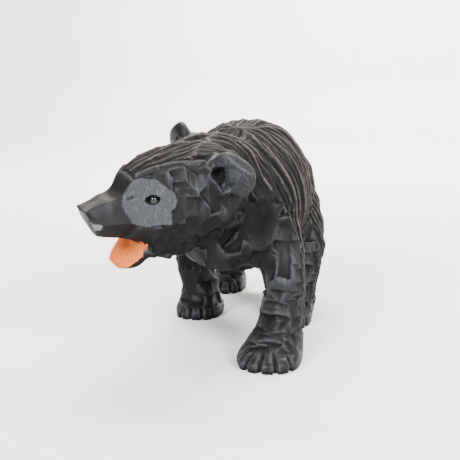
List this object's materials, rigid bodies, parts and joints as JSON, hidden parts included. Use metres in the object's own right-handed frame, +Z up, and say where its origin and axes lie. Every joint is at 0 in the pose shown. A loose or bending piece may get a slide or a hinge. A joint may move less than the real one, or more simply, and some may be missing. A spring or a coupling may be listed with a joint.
{
  "type": "carved bear figure",
  "caption": "Walking bear carved from dark stained wood, its head turned to one side and its mouth open, with glass bead eyes.",
  "frame": {"origin": "middle of the bounding box at ground level, where the soles rest", "axes": "+Z up, the bear faces -Y along its length, +X is the bear's own left"},
  "size_m": [0.079, 0.182, 0.0998],
  "materials": {
    "stained_wood": "black stain on gouged wood, matte, orange stain inside the lower jaw",
    "eye_glass": "polished, opaque black"
  },
  "bodies": {
    "root": {"carved_bear": "stained_wood", "left_eye_bead": "eye_glass", "right_eye_bead": "eye_glass"}
  },
  "joints": []
}
